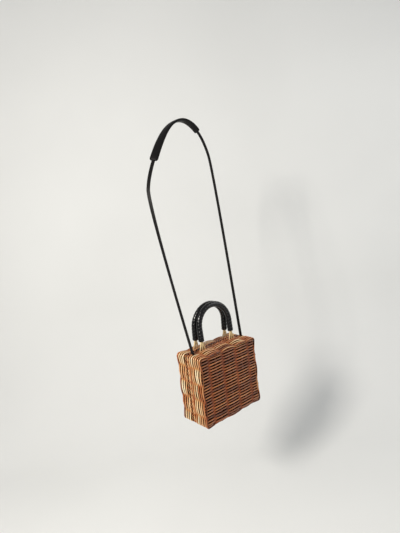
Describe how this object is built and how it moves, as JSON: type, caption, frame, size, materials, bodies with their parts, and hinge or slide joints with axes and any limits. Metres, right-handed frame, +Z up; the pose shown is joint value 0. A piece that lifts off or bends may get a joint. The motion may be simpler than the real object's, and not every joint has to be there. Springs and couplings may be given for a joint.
{
  "type": "basket box bag",
  "caption": "Woven willow box bag in two hinged halves, each with a leather-wound arch handle, hung on a flat leather shoulder strap with a pad.",
  "frame": {"origin": "underside of the shoulder pad at its top, where a shoulder or peg carries the bag", "axes": "+Z up, the bag's front panel faces -Y, +X to the right seen from the front"},
  "size_m": [0.2173, 0.1567, 0.6948],
  "materials": {
    "willow": "satin",
    "cane": "satin",
    "leather": "semi gloss"
  },
  "bodies": {
    "front_half": {"front_panel": "willow", "front_wall": "willow", "front_rim": "willow", "front_handle_core": "cane", "front_handle_wrap": "leather", "hinge_rings": "cane", "strap": "leather", "shoulder_pad": "leather", "strap_stops": "leather"},
    "back_half": {"back_panel": "willow", "back_wall": "willow", "back_rim": "willow", "back_handle_core": "cane", "back_handle_wrap": "leather"}
  },
  "joints": [
    {"name": "back_opens", "type": "hinge", "parent": "front_half", "child": "back_half", "pos_m": [-0.052, -0.09512, -0.67395], "axis": [-1, 0, 0], "range_deg": [0, 95]}
  ]
}
